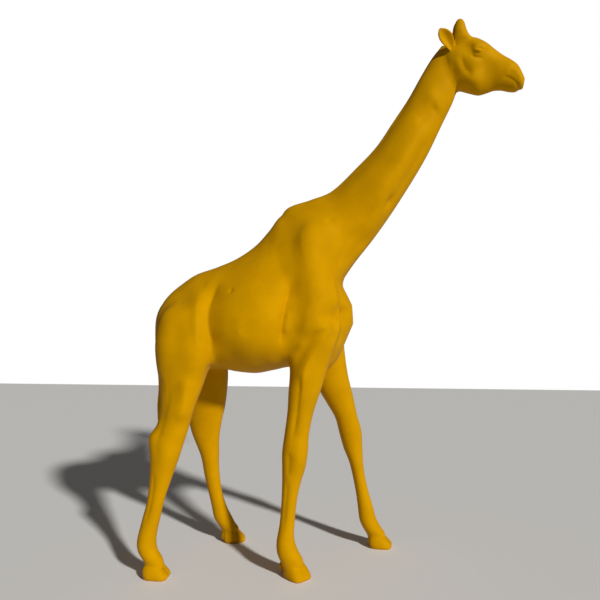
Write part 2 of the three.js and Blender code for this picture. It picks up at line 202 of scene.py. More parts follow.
horn = {"rings": 48, "sides": 40, "ribs": [
    (31.6, 92.2, 28.0, 92.4, -1.1, 1.0, 0, 2),
    (31.7, 94.3, 27.8, 94.7, -1.4, 1.35, 0, 2),
    (30.9, 95.7, 28.1, 96.0, -1.55, 1.25, 0, 2),
    (30.5, 96.7, 28.3, 97.0, -1.65, 1.05, 0, 2),
    (30.3, 97.5, 28.6, 97.6, -1.7, 0.9, 0, 2),
    (30.0, 98.1, 28.9, 98.1, -1.7, 0.65, 0, 2),
    (29.6, 98.3, 29.3, 98.3, -1.7, 0.3, 0, 2),
]}
claw = {"rings": 40, "sides": 40, "spread": 0.62, "turn": 0.04, "ribs": [
    (-1.85, 1.9, -1.85, 0.9, 0, 0.5, 0, 2.2),
    (-1.55, 2.5, -1.5, 0.1, 0, 1.0, 0.10, 2.3),
    (-0.7, 3.0, -0.7, -0.1, 0, 1.3, 0.20, 2.4),
    (0.3, 2.8, 0.3, -0.1, 0, 1.35, 0.25, 2.4),
    (1.3, 2.1, 1.3, -0.1, 0, 1.3, 0.25, 2.4),
    (2.1, 1.3, 2.0, 0.0, 0, 1.05, 0.20, 2.3),
    (2.55, 0.8, 2.45, 0.3, 0, 0.5, 0.10, 2.1),
]}
heelBall = {"radii": (0.85, 1.3, 1.0), "height": 1.25, "rings": 24, "sides": 32}
feet = [  # middle of each foot, the way it points, in radians from straight ahead, and where its heel ball sits
    {"at": (-0.1, -5.7), "turn": -0.75, "heel": -2.9},
    {"at": (14.5, 10.1), "turn": -0.06, "heel": -1.3},
    {"at": (-24.4, -8.2), "turn": 0.0, "heel": -1.3},
    {"at": (-14.75, 10.2), "turn": 0.3, "heel": -1.5},
]
ear = {"rings": 44, "sides": 48, "root": (28.5, -1.9, 91.4), "tip": (26.1, -4.3, 96.1),
       "facing": (0.35, -0.9, -0.1), "halfWidth": 1.25, "thickness": 0.45, "cup": 1.7,
       "bow": -0.35}
eyeball = {"middle": (32.6, -2.75, 91.6), "radii": (1.0, 0.55, 0.6), "rings": 24, "sides": 32}



def splineThrough(rows, t):
    # Catmull-Rom: between rows i and i+1 the four nearest rows are blended by cubics of the fraction, and the
    # row beyond either end is the last one mirrored in its neighbour
    rows = np.asarray(rows, float)
    rows = np.vstack([2 * rows[0] - rows[1], rows, 2 * rows[-1] - rows[-2]])
    i = np.clip(np.floor(t).astype(int), 0, len(rows) - 4)
    f = (t - i)[:, None]
    a, b, c, d = rows[i], rows[i + 1], rows[i + 2], rows[i + 3]
    return 0.5 * (2 * b + (c - a) * f + (2 * a - 5 * b + 4 * c - d) * f ** 2 + (3 * b - a - 3 * c + d) * f ** 3)


def closedTube(points):
    # a grid of rings and sides as walls of four-sided faces, with a fan to the middle of the first and last ring
    rings, sides = points.shape[:2]
    i, k = np.meshgrid(np.arange(rings - 1), np.arange(sides), indexing="ij")
    a, b = i * sides + k, i * sides + (k + 1) % sides
    walls = np.stack([a, b, b + sides, a + sides], -1).reshape(-1, 4)
    k = np.arange(sides)
    end = (rings - 1) * sides
    caps = np.concatenate([np.stack([(k + 1) % sides, k, np.full(sides, rings * sides)], -1),
                           np.stack([end + k, end + (k + 1) % sides, np.full(sides, rings * sides + 1)], -1)])
    middles = points[[0, -1]].mean(1)
    return np.vstack([points.reshape(-1, 3), middles]), walls, caps


def loft(form):
    # ring i, side k: middle of the rib + reach * cos(angle) along the rib + half width * sin(angle) sideways,
    # both raised to the power 2 / squareness, the width narrowed by pinch towards the top
    row = splineThrough(form["ribs"], np.linspace(0, len(form["ribs"]) - 1, form["rings"]))
    topX, topZ, lowX, lowZ, plane, half, pinch, square = (column[:, None] for column in row.T)
    angle = np.linspace(0, 2 * math.pi, form["sides"], endpoint=False)[None, :]
    along = np.sign(np.cos(angle)) * np.abs(np.cos(angle)) ** (2 / square)
    across = np.sign(np.sin(angle)) * np.abs(np.sin(angle)) ** (2 / square)
    x = (topX + lowX) / 2 + (topX - lowX) / 2 * along
    y = plane + np.maximum(half, 0.05) * (1 - pinch * along) * across
    z = (topZ + lowZ) / 2 + (topZ - lowZ) / 2 * along
    return closedTube(np.stack([x, y, z], -1))


def cuppedLeaf(form):
    # an egg flattened and turned about its length, radius = width * sin(pi * t^1.7)^0.75; on the side that it
    # faces, the bulge s becomes s - cup * s^3, which leaves a raised rim round a hollow; it bows by bow * sin(pi * t)
    root, tip = np.array(form["root"]), np.array(form["tip"])
    length = np.linalg.norm(tip - root)
    along = (tip - root) / length
    out = np.array(form["facing"]) - np.dot(form["facing"], along) * along
    out /= np.linalg.norm(out)
    across = np.cross(out, along)
    t = np.linspace(0, 1, form["rings"])[:, None]
    angle = np.linspace(0, 2 * math.pi, form["sides"], endpoint=False)[None, :]
    radius = form["halfWidth"] * np.sin(math.pi * t ** 1.7).clip(1e-4) ** 0.75
    bulge = np.sin(angle)
    cup = form["cup"] * np.sin(math.pi * t.clip(0.02, 0.98)) ** 0.5
    bulge = np.where(bulge > 0, bulge - cup * bulge ** 3, bulge)
    sideways = radius * np.cos(angle) + form["bow"] * np.sin(math.pi * t)
    outwards = radius * form["thickness"] * bulge
    grid = root + sideways[..., None] * across + outwards[..., None] * out + (t * length)[..., None] * along
    return closedTube(grid)


def mirrored(part):
    points, walls, caps = part
    return points * (1, -1, 1), walls[:, ::-1], caps[:, ::-1]


def turnedBy(points, angle, pivot=(0, 0)):
    x, y = points[:, 0] - pivot[0], points[:, 1] - pivot[1]
    return np.stack([pivot[0] + x * math.cos(angle) - y * math.sin(angle),
                     pivot[1] + x * math.sin(angle) + y * math.cos(angle), points[:, 2]], 1)


def egg(form):
    # rings at height cos(angle), radius sin(angle), stretched by the three radii
    lat = np.linspace(0.02, math.pi - 0.02, form["rings"])[:, None]
    lon = np.linspace(0, 2 * math.pi, form["sides"], endpoint=False)[None, :]
    grid = np.stack([np.sin(lat) * np.cos(lon), np.sin(lat) * np.sin(lon), np.cos(lat) + 0 * lon], -1)
    return closedTube(grid * np.array(form["radii"]) + np.array(form["middle"]))


def foot(place):
    parts = []
    for side in (-1, 1):
        points, walls, caps = loft(claw)
        points = turnedBy(points, -side * claw["turn"]) + (0, side * claw["spread"], 0)
        points = turnedBy(points, place["turn"]) + (*place["at"], -figure["soleTrim"])
        parts.append((points, walls, caps))
    points, walls, caps = egg({**heelBall, "middle": (place["heel"], 0, heelBall["height"])})
    parts.append((turnedBy(points, place["turn"]) + (*place["at"], 0), walls, caps))
    return parts


swells = [  # where the fusing grid is finer: middle in shares, how many times finer, reach in shares
    {"middle": (32.5, -1.2, 91.0), "gain": 1.9, "reach": 8.5},
    {"middle": (-0.1, -5.7, 1.2), "gain": 0.9, "reach": 3.5},
    {"middle": (14.3, 10.1, 1.2), "gain": 0.9, "reach": 3.5},
    {"middle": (-24.4, -8.2, 1.2), "gain": 0.9, "reach": 3.5},
    {"middle": (-15.0, 10.2, 1.2), "gain": 0.9, "reach": 3.5},
]
fairing = {"smoothing": 8, "bodySmoothing": 40, "filletPasses": 90, "tailPasses": 160, "creaseCurvature": 0.55,
           "seamCurvature": 0.14, "filletSpread": 20, "afterCarving": 3}


def swell(points, middle, gain, reach, undo=False):
    # the distance r from the middle becomes r + gain * reach * tanh(r / reach)
    table = np.linspace(0, 160, 20000)
    swollen = table + gain * reach * np.tanh(table / reach)
    away = points - middle
    r = np.linalg.norm(away, axis=1).clip(1e-9)
    new = np.interp(r, swollen, table) if undo else np.interp(r, table, swollen)
    return middle + away * (new / r)[:, None]


def swellAll(points):
    middles = []
    for place in swells:
        middle = np.array([place["middle"]], float)
        for earlier, done in zip(swells, middles):
            middle = swell(middle, done, earlier["gain"], earlier["reach"])
        middles.append(middle[0])
        points = swell(points, middle[0], place["gain"], place["reach"])
    return points, middles


def meshFrom(name, points, faces):
    mesh = bpy.data.meshes.new(name)
    mesh.from_pydata(points.tolist(), [], faces)
    mesh.update()
    return mesh


def fused(parts):
    # all parts in one mesh, remeshed on a grid that is finer near the head and the feet
    points, faces, start = [], [], 0
    for part, walls, caps in parts:
        points.append(part)
        faces += (walls + start).tolist() + (caps + start).tolist()
        start += len(part)
    points, middles = swellAll(np.vstack(points))
    mesh = meshFrom("forms", points * share, faces)
    holder = bpy.data.objects.new("forms", mesh)
    bpy.context.scene.collection.objects.link(holder)
    remesh = holder.modifiers.new("fuse", "REMESH")
    remesh.mode = "VOXEL"
    remesh.voxel_size = figure["voxel"]
    remesh.adaptivity = 0
    result = bpy.data.meshes.new_from_object(holder.evaluated_get(bpy.context.evaluated_depsgraph_get()))
    points = np.empty(len(result.vertices) * 3, np.float32)
    result.vertices.foreach_get("co", points)
    corners = np.empty(len(result.loops), np.int32)
    result.loops.foreach_get("vertex_index", corners)
    points = points.reshape(-1, 3).astype(float) / share
    for place, middle in zip(reversed(swells), reversed(middles)):
        points = swell(points, middle, place["gain"], place["reach"], undo=True)
    bpy.data.objects.remove(holder)
    bpy.data.meshes.remove(mesh)
    bpy.data.meshes.remove(result)
    return points, corners.reshape(-1, 4)


def edgesOf(quads):
    pairs = np.concatenate([quads[:, [0, 1]], quads[:, [1, 2]], quads[:, [2, 3]], quads[:, [3, 0]]])
    return np.unique(np.sort(pairs, 1), axis=0)


def neighbourMean(values, edges):
    count = len(values)
    flat = values.reshape(count, -1)
    total = np.stack([np.bincount(edges[:, 0], column[edges[:, 1]], count)
                      + np.bincount(edges[:, 1], column[edges[:, 0]], count) for column in flat.T], 1)
    valence = np.bincount(edges.ravel(), minlength=count)
    return (total / valence[:, None]).reshape(values.shape)


def normalsOf(points, quads):
    faceNormal = np.cross(points[quads[:, 2]] - points[quads[:, 0]], points[quads[:, 3]] - points[quads[:, 1]])
    total = np.stack([sum(np.bincount(quads[:, c], column, len(points)) for c in range(4))
                      for column in faceNormal.T], 1)
    return total / np.linalg.norm(total, axis=1).clip(1e-12)[:, None]


def smoothed(points, edges, passes, weight=1.0):
    # each pass moves a point half way to its neighbours' mean, then a little more than that back again
    for step in range(passes):
        points = points + 0.5 * weight * (neighbourMean(points, edges) - points)
        points = points - 0.52 * weight * (neighbourMean(points, edges) - points)
    return points


def ramp(values, start, end):
    t = ((values - start) / (end - start)).clip(0, 1)
    return t * t * (3 - 2 * t)


def broad(points):
    # 1 on trunk, neck and upper legs, which are faired most, 0 on head and feet
    x, y, z = points.T
    headward = ramp(np.hypot(x - 33.0, z - 91.0), 6.5, 9.5)
    return (headward * ramp(z, 5.0, 10.0))[:, None]


def fromEar(points):
    # how far a point is from the ear's line, in the head's own turned frame, for both ears by mirroring
    root, reach = np.array(ear["root"]), np.array(ear["tip"]) - np.array(ear["root"])
    inHead = turnedBy(points, headTurn["angle"], (headTurn["poll"], 0))
    inHead[:, 1] = -np.abs(inHead[:, 1])
    along = ((inHead - root) @ reach / (reach @ reach)).clip(0.35, 1)
    return np.linalg.norm(inHead - root - along[:, None] * reach, axis=1)


def filleted(points, quads, edges):
    # where two forms meet in a sharp valley, the valley is filled outwards, a little at a time; then, behind the
    # thighs, every hollow is, because the tail is cast onto them
    normals = normalsOf(points, quads)
    pull = neighbourMean(points, edges) - points
    length = np.linalg.norm(points[edges[:, 0]] - points[edges[:, 1]], axis=1)
    spacing = np.bincount(edges[:, 0], length, len(points)) + np.bincount(edges[:, 1], length, len(points))
    spacing /= np.bincount(edges.ravel(), minlength=len(points))
    curvature = (pull * normals).sum(1) / spacing ** 2
    sharpest = fairing["creaseCurvature"] + (fairing["seamCurvature"] - fairing["creaseCurvature"]) * broad(points)[:, 0]
    valley = (curvature > sharpest).astype(float)
    for step in range(fairing["filletSpread"]):
        valley = np.maximum(valley * 0.985, neighbourMean(valley, edges))
    valley = (valley * 1.6).clip(0, 1) * ramp(points[:, 2], 3.2, 6.0) * ramp(fromEar(points), 1.2, 1.8)
    behind = ramp(-21.0 - points[:, 0], 0, 2.0) * ramp(points[:, 2], 22.0, 26.0)
    for where, passes in ((valley, fairing["filletPasses"]), (behind, fairing["tailPasses"])):
        for step in range(passes):
            if step % 5 == 0:
                normals = normalsOf(points, quads)
            pull = neighbourMean(points, edges) - points
            fill = (pull * normals).sum(1).clip(0) * where
            points = points + normals * fill[:, None] * 0.9
    return points


# The carving is drawn on the side view, in shares, and pushed out of or into the skin along its normal. A swell is
# "at" its middle with a "reach" along and across, turned by "turn" degrees. A fold follows a "path", with a "width"
# behind and ahead of it, and is sharper the smaller its "edge" is. "rise" is its height, negative for a hollow.
flankCarving = {
    "barrel": {"at": (-7.5, 44.3), "reach": (6.2, 4.9), "turn": 0, "rise": 0.9, "flat": 1.4},
    "thighCrease": {"path": [(-13.6, 52.0), (-15.0, 49.6), (-15.5, 46.4), (-15.3, 43.2), (-14.7, 40.4),
                             (-15.2, 37.6)], "width": (1.0, 1.6), "edge": 0.3, "rise": -0.95},
    "thighFront": {"path": [(-17.0, 51.0), (-17.4, 46.5), (-17.2, 42.0), (-17.4, 36.0), (-18.4, 31.0)],
                   "width": (4.0, 2.2), "edge": 1.0, "rise": 1.15},
    "thighMiddle": {"at": (-20.5, 41.5), "reach": (2.2, 5.0), "turn": 0, "rise": -0.5},
    "thighLow": {"at": (-19.5, 35.0), "reach": (4.5, 3.2), "turn": 0, "rise": -0.8},
    "hipPoint": {"at": (-15.8, 51.2), "reach": (1.5, 1.1), "turn": 40, "rise": 0.2},
    "rumpHollow": {"at": (-20.3, 47.2), "reach": (2.4, 3.0), "turn": 20, "rise": -0.35},
    "loinHollow": {"at": (-11.6, 51.8), "reach": (2.6, 2.0), "turn": 25, "rise": -0.2},
    "backSlope": {"at": (-6.0, 54.6), "reach": (5.6, 2.4), "turn": 36, "rise": 0.45},
    "flankDimple": {"at": (-11.5, 49.6), "reach": (0.38, 0.45), "turn": 0, "rise": -0.2},
    "belly": {"path": [(-13.5, 38.6), (-9.0, 37.2), (-4.0, 37.2)], "width": (1.6, 1.6), "edge": 0.8,
              "rise": -0.25},
    "girth": {"path": [(-0.6, 51.6), (-1.3, 49.0), (-1.8, 46.8), (-2.2, 44.2), (-2.4, 41.6), (-2.3, 38.8)],
              "width": (0.8, 2.6), "edge": 0.25, "rise": -1.2},
    "girthTendon": {"path": [(-1.0, 46.4), (-1.5, 44.0), (-1.7, 41.6)], "width": (0.35, 0.35),
                    "edge": 0.3, "rise": 0.25},
    "bladeRear": {"path": [(-3.4, 60.2), (-3.6, 56.8), (-2.6, 53.2), (-1.2, 50.2), (-1.2, 47.0)],
                  "width": (2.4, 1.8), "edge": 1.0, "rise": -0.4},
    "bladePit": {"at": (-0.7, 50.3), "reach": (1.2, 2.0), "turn": 0, "rise": -0.2},
    "bladeTop": {"at": (2.6, 59.8), "reach": (3.4, 2.8), "turn": -10, "rise": 1.0},
    "bladeRidge": {"path": [(1.0, 61.2), (1.2, 58.0), (1.6, 54.6), (2.1, 51.2), (2.6, 48.0)],
                   "width": (2.2, 2.8), "edge": 1.0, "rise": 0.2},
    "shoulderBlade": {"at": (2.0, 55.6), "reach": (3.4, 5.0), "turn": -8, "rise": 1.1},
    "shoulderNick": {"at": (5.9, 62.0), "reach": (0.7, 0.6), "turn": 0, "rise": -0.14},
    "withersPit": {"at": (0.3, 60.4), "reach": (1.6, 1.3), "turn": 20, "rise": -0.2},
    "upperArm": {"at": (3.7, 45.2), "reach": (4.2, 4.2), "turn": -22, "rise": 1.0},
    "armHollow": {"at": (1.8, 40.2), "reach": (4.6, 1.4), "turn": 60, "rise": -0.85},
    "chestHollow": {"path": [(8.6, 47.6), (8.2, 46.0), (7.4, 44.2), (6.6, 42.0), (6.4, 39.6)],
                    "width": (1.4, 1.1), "edge": 0.8, "rise": -0.65},
    "brisket": {"at": (6.3, 45.0), "reach": (2.0, 1.6), "turn": -20, "rise": -0.85},
    "neckRoot": {"at": (10.0, 58.6), "reach": (3.6, 3.0), "turn": -60, "rise": -0.8},
    "neckPit": {"at": (7.9, 54.8), "reach": (1.2, 1.6), "turn": -20, "rise": -0.5},
    "neckGroove": {"path": [(14.4, 66.0), (12.2, 62.6), (10.2, 59.4), (8.6, 56.8), (7.6, 53.8)],
                   "width": (1.4, 1.0), "edge": 0.6, "rise": -0.45},
    "neckSwellLow": {"at": (14.8, 67.4), "reach": (2.4, 4.6), "turn": -40, "rise": 0.6},
    "neckSwellHigh": {"at": (19.2, 73.4), "reach": (1.9, 4.6), "turn": -28, "rise": 0.45},
    "neckSide": {"path": [(23.4, 81.0), (20.6, 75.8), (16.6, 69.4), (12.8, 64.3)], "width": (2.4, 1.4),
                 "edge": 0.9, "rise": 0.45},
    "neckCrest": {"path": [(1.6, 65.2), (5.6, 67.0), (9.8, 70.6), (13.4, 74.6), (16.6, 79.0), (19.4, 83.4),
                           (22.2, 88.0)], "width": (1.0, 1.0), "edge": 1.0, "rise": -0.3},
    "jugular": {"path": [(24.6, 79.4), (23.2, 76.6), (21.8, 74.0), (20.0, 70.8), (18.2, 68.2), (16.2, 65.2),
                         (14.0, 62.6)], "width": (1.2, 0.8), "edge": 0.5, "rise": -0.45},
    "jugularNotch": {"at": (16.4, 65.5), "reach": (0.6, 1.3), "turn": -30, "rise": -0.45},
    "throatFold": {"path": [(25.2, 82.8), (23.4, 81.4), (21.0, 79.0)], "width": (1.0, 1.0), "edge": 0.6,
                   "rise": -0.4},
    "throatSwell": {"at": (23.8, 84.2), "reach": (1.3, 1.8), "turn": 0, "rise": 0.25},
}


def nearPath(form, x, z):
    # the path is drawn as a smooth curve of short pieces; a point's distance from it, the side it lies on, from -1
    # to 1, and its place along it, from 0 to 1, are means over the pieces, weighted by exp(-distance / blend)
    corners = np.array(form["path"], float)
    curve = splineThrough(corners, np.linspace(0, len(corners) - 1, 6 * len(corners)))
    blend = 0.15 * max(form["width"])
    total, away, side, place = np.full(len(x), 1e-60), np.zeros(len(x)), np.zeros(len(x)), np.zeros(len(x))
    for k, (start, end) in enumerate(zip(curve[:-1], curve[1:])):
        run = end - start
        held = (((x - start[0]) * run[0] + (z - start[1]) * run[1]) / (run @ run)).clip(0, 1)
        dx, dz = x - start[0] - held * run[0], z - start[1] - held * run[1]
        distance = np.hypot(dx, dz)
        weight = np.exp(-distance / blend)
        total += weight
        away += weight * distance
        side += weight * np.sign(run[0] * dz - run[1] * dx)
        place += weight * (k + held)
    return away / total, side / total, place / total / (len(curve) - 1)


def carved(form, x, z):
    # a swell is rise * exp(-(r^2)^flat) in its own ellipse, flatter on top the larger flat is; a fold is
    # rise * exp(-(sqrt(d^2 + edge^2) - edge) / width), fading to nothing at both ends of its path
    if "at" in form:
        turn = math.radians(form["turn"])
        dx, dz = x - form["at"][0], z - form["at"][1]
        along = (dx * math.cos(turn) + dz * math.sin(turn)) / form["reach"][0]
        across = (dz * math.cos(turn) - dx * math.sin(turn)) / form["reach"][1]
        return form["rise"] * np.exp(-(along ** 2 + across ** 2) ** form.get("flat", 1))
    (left, low), (right, high) = np.min(form["path"], 0), np.max(form["path"], 0)
    reach = 7 * max(form["width"])
    near = (x > left - reach) & (x < right + reach) & (z > low - reach) & (z < high + reach)
    away, side, place = nearPath(form, x[near], z[near])
    width = form["width"][0] + (form["width"][1] - form["width"][0]) * (side + 1) / 2
    fade = ramp(place, 0.0, 0.28) * ramp(1 - place, 0.0, 0.28)
    depth = np.zeros(len(x))
    depth[near] = form["rise"] * fade * np.exp(-(np.sqrt(away ** 2 + form["edge"] ** 2) - form["edge"]) / width)
    return depth


headCarving = {
    "socket": {"at": (32.3, 91.6), "reach": (1.8, 1.0), "turn": 5, "rise": -0.5},
    "eyeball": {"at": (32.7, 91.6), "reach": (0.95, 0.5), "turn": -5, "rise": 0.55},
    "brow": {"path": [(31.2, 92.3), (32.1, 92.75), (33.0, 93.0), (33.9, 92.75), (34.7, 91.8)],
             "width": (0.6, 0.5), "edge": 0.35, "rise": 0.3},
    "browHollow": {"at": (31.0, 92.9), "reach": (1.2, 0.9), "turn": 25, "rise": -0.15},
    "lidCrease": {"path": [(32.0, 91.8), (32.5, 92.0), (33.0, 92.0), (33.5, 91.8)], "width": (0.2, 0.2),
                  "edge": 0.1, "rise": -0.12},
    "upperLid": {"path": [(31.6, 91.6), (32.1, 92.1), (32.9, 92.35), (33.5, 92.15), (33.9, 91.6)],
                 "width": (0.28, 0.22), "edge": 0.12, "rise": 0.24},
    "lowerLid": {"path": [(31.6, 91.4), (32.2, 91.0), (32.9, 90.9), (33.6, 91.1)], "width": (0.25, 0.25),
                 "edge": 0.12, "rise": 0.2},
    "underEye": {"path": [(31.3, 91.1), (32.0, 90.65), (32.9, 90.5), (33.7, 90.75)], "width": (0.35, 0.35),
                 "edge": 0.15, "rise": -0.18},
    "temple": {"at": (29.9, 93.6), "reach": (1.6, 1.7), "turn": 20, "rise": -0.3},
    "forehead": {"at": (33.2, 93.7), "reach": (2.0, 0.7), "turn": -28, "rise": -0.12},
    "jawEdge": {"path": [(28.7, 91.8), (29.0, 90.2), (29.7, 88.7), (30.7, 87.5), (32.0, 86.8), (33.6, 86.6)],
                "width": (0.5, 0.5), "edge": 0.4, "rise": 0.12},
    "jawMuscle": {"at": (31.2, 86.8), "reach": (3.0, 1.2), "turn": 0, "rise": 0.15},
    "cheekHollow": {"path": [(29.6, 91.7), (29.9, 90.0), (30.6, 88.6), (31.8, 88.0)], "width": (0.5, 0.5),
                    "edge": 0.35, "rise": -0.22},
    "throatLatch": {"path": [(27.8, 90.6), (28.2, 89.0), (28.8, 87.4)], "width": (0.5, 0.5), "edge": 0.4,
                    "rise": -0.1},
    "cheek": {"at": (33.6, 89.4), "reach": (1.4, 2.4), "turn": -14, "rise": -0.5},
    "noseSide": {"at": (34.9, 89.3), "reach": (1.8, 3.0), "turn": -30, "rise": -0.6},
    "chin": {"at": (37.8, 85.6), "reach": (1.6, 1.0), "turn": 0, "rise": -0.1},
    "mouth": {"path": [(36.4, 87.4), (37.2, 86.9), (37.9, 86.5), (38.7, 85.8), (39.3, 84.9), (39.7, 83.6)],
              "width": (0.8, 0.5), "edge": 0.12, "rise": -0.28, "wraps": True},
    "upperLip": {"path": [(37.3, 88.0), (38.6, 87.2), (39.4, 85.7)], "width": (0.4, 0.4), "edge": 0.5,
                 "rise": -0.15},
    "nostril": {"path": [(38.1, 89.0), (38.8, 88.7), (39.2, 88.0)], "width": (0.3, 0.3), "edge": 0.12,
                "rise": -0.15},
}

foreCarving = {  # along the ribs from shoulder to foot, and across them from -1, behind, to 1, in front
    "tricepsEdge": {"path": [(2.9, 0.8), (3.15, 0.4), (3.35, 0.0), (3.75, -0.4), (4.1, -0.8)],
                    "width": (1.6, 0.6), "edge": 0.3, "rise": 0.6},
    "extensorRidge": {"path": [(2.7, 0.9), (3.35, 0.6), (4.05, 0.3), (4.5, 0.05), (5.05, -0.15), (6.4, -0.1),
                               (8.0, 0.0)], "width": (1.2, 0.9), "edge": 0.4, "rise": 0.6},
    "armFace": {"at": (4.2, 0.4), "reach": (1.5, 3.6), "turn": -20, "rise": -0.6},
    "tendonGroove": {"path": [(5.0, -0.35), (6.0, -0.25), (7.2, -0.2), (8.6, -0.3)], "width": (0.6, 0.8),
                     "edge": 0.3, "rise": -0.55},
    "kneeCap": {"at": (9.3, 0.4), "reach": (1.0, 1.6), "turn": 0, "rise": 0.25},
    "kneeRear": {"path": [(8.8, -0.45), (9.6, -0.35), (10.6, -0.4)], "width": (0.45, 0.45), "edge": 0.3,
                 "rise": -0.22},
    "cannonGroove": {"path": [(10.6, -0.35), (12.0, -0.35), (13.6, -0.35)], "width": (0.35, 0.35),
                     "edge": 0.2, "rise": -0.2},
    "fetlock": {"at": (14.2, -0.4), "reach": (1.1, 1.3), "turn": 0, "rise": 0.15},
}
hindCarving = {
    "gaskin": {"path": [(3.4, 0.35), (4.6, 0.45), (6.0, 0.5)], "width": (1.5, 1.0), "edge": 0.6, "rise": 0.7},
    "hamstring": {"path": [(3.2, -0.45), (4.8, -0.5), (6.2, -0.55), (7.2, -0.6)], "width": (0.7, 0.7),
                  "edge": 0.35, "rise": -0.2},
    "thighFace": {"at": (4.4, -0.1), "reach": (2.2, 3.2), "turn": 0, "rise": -0.6},
    "gaskinRear": {"path": [(3.4, -0.8), (4.8, -0.75), (6.2, -0.75)], "width": (0.7, 1.0), "edge": 0.45,
                   "rise": -0.3},
    "hockHollow": {"path": [(6.0, -0.35), (7.0, -0.4), (8.0, -0.3)], "width": (0.6, 0.6), "edge": 0.3,
                   "rise": -0.15},
    "hockBone": {"at": (7.8, 0.3), "reach": (1.3, 1.9), "turn": 0, "rise": 0.25},
    "cannonGroove": {"path": [(8.4, -0.4), (9.8, -0.35), (11.4, -0.35)], "width": (0.35, 0.4), "edge": 0.2,
                     "rise": -0.22},
    "fetlock": {"at": (12.4, -0.4), "reach": (1.1, 1.3), "turn": 0, "rise": 0.15},
}


def onLeg(leg, carving):
    # the same carving laid on a leg: place along the ribs and across them turned into the side view
    laid = {}
    for name, form in carving.items():
        places = np.array(form["path"] if "path" in form else [form["at"]], float)
        row = splineThrough(leg["ribs"], places[:, 0])
        x = (row[:, 0] + row[:, 2]) / 2 + places[:, 1] * (row[:, 0] - row[:, 2]) / 2
        z = (row[:, 1] + row[:, 3]) / 2 + places[:, 1] * (row[:, 1] - row[:, 3]) / 2
        laid[name] = {**form, "path": list(zip(x, z))} if "path" in form else {**form, "at": (x[0], z[0])}
    return laid


def legPlane(leg, z):
    # the plane y in which the leg stands, by height
    ribs = np.array(leg["ribs"])[::-1]
    return np.interp(z, (ribs[:, 1] + ribs[:, 3]) / 2, ribs[:, 4])


def carve(points, quads):
    # trunk and neck on both outer faces, head on both in its own turned frame, then each leg's outer face
    normals = normalsOf(points, quads)
    x, y, z = points.T
    outward = np.sign(y) * normals[:, 1]
    facing = ramp(outward, 0.15, 0.55)
    headX, headY = turnedBy(points, headTurn["angle"], (headTurn["poll"], 0))[:, :2].T
    headNormal = turnedBy(normals, headTurn["angle"])[:, 1]
    headFacing = ramp(np.sign(headY) * headNormal, 0.1, 0.5)
    onHead = ramp(headX, 27.4, 28.6) * ramp(z, 83.0, 84.5) * ramp(96.2 - z, 0, 0.8)
    depth = np.zeros(len(points))
    body = (1 - onHead) * facing * ramp(z, 24.0, 34.0)
    for form in flankCarving.values():
        depth += carved(form, x, z) * body
    for form in headCarving.values():
        depth += carved(form, headX, z) * onHead * (1 if "wraps" in form else headFacing)
    for leg, carving in ((rightForeleg, foreCarving), (leftForeleg, foreCarving), (rightHindleg, hindCarving),
                         (leftHindleg, hindCarving)):
        plane = legPlane(leg, z)
        onThis = ramp(np.sign(plane) * normals[:, 1], 0.05, 0.45) * ramp(5.0 - np.abs(y - plane), 0, 2)
        onThis *= ramp(46.0 - z, 0, 3)
        for form in onLeg(leg, carving).values():
            depth += carved(form, x, z) * onThis
    return points + normals * depth[:, None]


print("lofting the forms")
headForms = [loft(head), loft(horn), mirrored(loft(horn)), cuppedLeaf(ear), mirrored(cuppedLeaf(ear)),
             egg(eyeball), mirrored(egg(eyeball))]
headForms = [(turnedBy(points, -headTurn["angle"], (headTurn["poll"], 0)), walls, caps)
             for points, walls, caps in headForms]
bodyForms = [loft(form) for form in (trunk, neck, rightForeleg, leftForeleg, rightHindleg, leftHindleg, tail)]
feetForms = [part for place in feet for part in foot(place)]
print("fusing them")
points, quads = fused(bodyForms + feetForms + headForms)
edges = edgesOf(quads)
print("fused:", len(points), "points", len(quads), "faces")
points = filleted(points, quads, edges)
points = smoothed(points, edges, fairing["smoothing"])
points = smoothed(points, edges, fairing["bodySmoothing"], broad(points))
print("carving them")
points = carve(points, quads)
points = smoothed(points, edges, fairing["afterCarving"])

# the soles are flat on the ground and nothing stands outside the casting's own box
points = points * share - figure["middle"]
low, high = np.array(cadBox[0]), np.array(cadBox[1])
points = np.clip(points, low + 1e-4, high - 1e-4)
points[points[:, 2] < 0.0015, 2] = 0.0002

print("building the casting")
rawMesh = meshFrom("rawCasting", points, quads.tolist())
rawCasting = bpy.data.objects.new("rawCasting", rawMesh)
bpy.context.scene.collection.objects.link(rawCasting)
thin = rawCasting.modifiers.new("thin", "DECIMATE")
thin.ratio = min(1.0, figure["triangles"] / (2 * len(quads)))
finished = bpy.data.meshes.new_from_object(rawCasting.evaluated_get(bpy.context.evaluated_depsgraph_get()))
bpy.data.objects.remove(rawCasting)
bpy.data.meshes.remove(rawMesh)
finished.name = "resinCasting"
finished.polygons.foreach_set("use_smooth", np.ones(len(finished.polygons), bool))
finished.update()
casting = bpy.data.objects.new("resinCasting", finished)
bpy.context.scene.collection.objects.link(casting)
print("casting:", len(finished.vertices), "points", len(finished.polygons), "triangles")
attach(casting, "root")
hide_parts("giraffe")


def linear(hexCode):
    # sRGB to linear light
    channels = [int(hexCode[i:i + 2], 16) / 255 for i in (0, 2, 4)]
    return tuple(c / 12.92 if c <= 0.04045 else ((c + 0.055) / 1.055) ** 2.4 for c in channels) + (1.0,)


def addNode(tree, kind, settings=None, links=None):
    # one node with its settings and its inputs, each a value or the (node, socket) that feeds it
    node = tree.nodes.new(kind)
    for name, value in (settings or {}).items():
        setattr(node, name, value)
    for name, value in (links or {}).items():
        if isinstance(value, tuple) and hasattr(value[0], "outputs"):
            tree.links.new(value[0].outputs[value[1]], node.inputs[name])
        else:
            node.inputs[name].default_value = value
    return node


